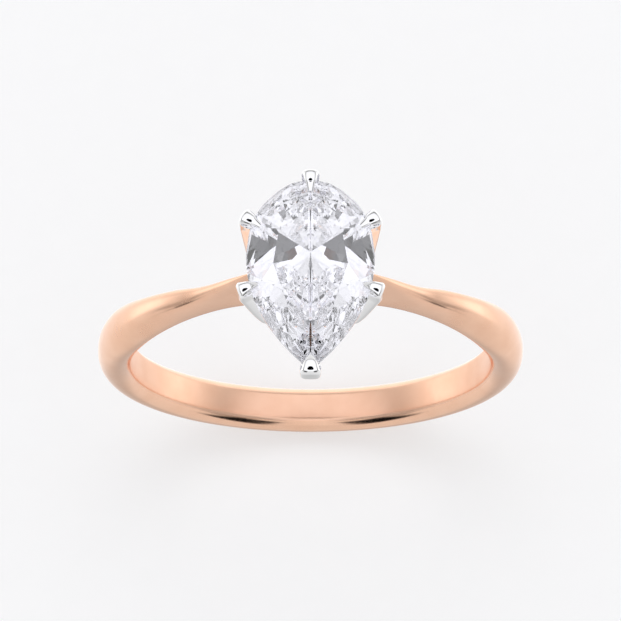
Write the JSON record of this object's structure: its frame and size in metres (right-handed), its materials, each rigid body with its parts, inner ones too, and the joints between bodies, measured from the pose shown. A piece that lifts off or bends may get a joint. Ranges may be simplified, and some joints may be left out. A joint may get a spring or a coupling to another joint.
{
  "type": "engagement ring",
  "caption": "Two-tone solitaire engagement ring: a pear-cut stone in a tall claw head on a slim band whose shoulders pinch to a ridge and climb to the head.",
  "frame": {"origin": "centre of the finger bore, midway across the band", "axes": "+Y along the finger towards the round end of the stone, +Z from the finger up through the stone's table, +X across the ring to the right when the point of the pear faces the viewer"},
  "size_m": [0.0196, 0.009, 0.0238],
  "materials": {
    "rose_gold": "high polish, 18 carat rose gold",
    "white_gold": "high polish, rhodium-bright white metal",
    "diamond": "polished flat facets, colourless"
  },
  "bodies": {
    "root": {"shank": "rose_gold", "lower_rail": "white_gold", "upper_rail": "white_gold", "stone": "diamond", "round_end_claw": "white_gold", "upper_left_claw": "white_gold", "upper_right_claw": "white_gold", "lower_left_claw": "white_gold", "lower_right_claw": "white_gold", "point_claw": "white_gold"}
  },
  "joints": []
}
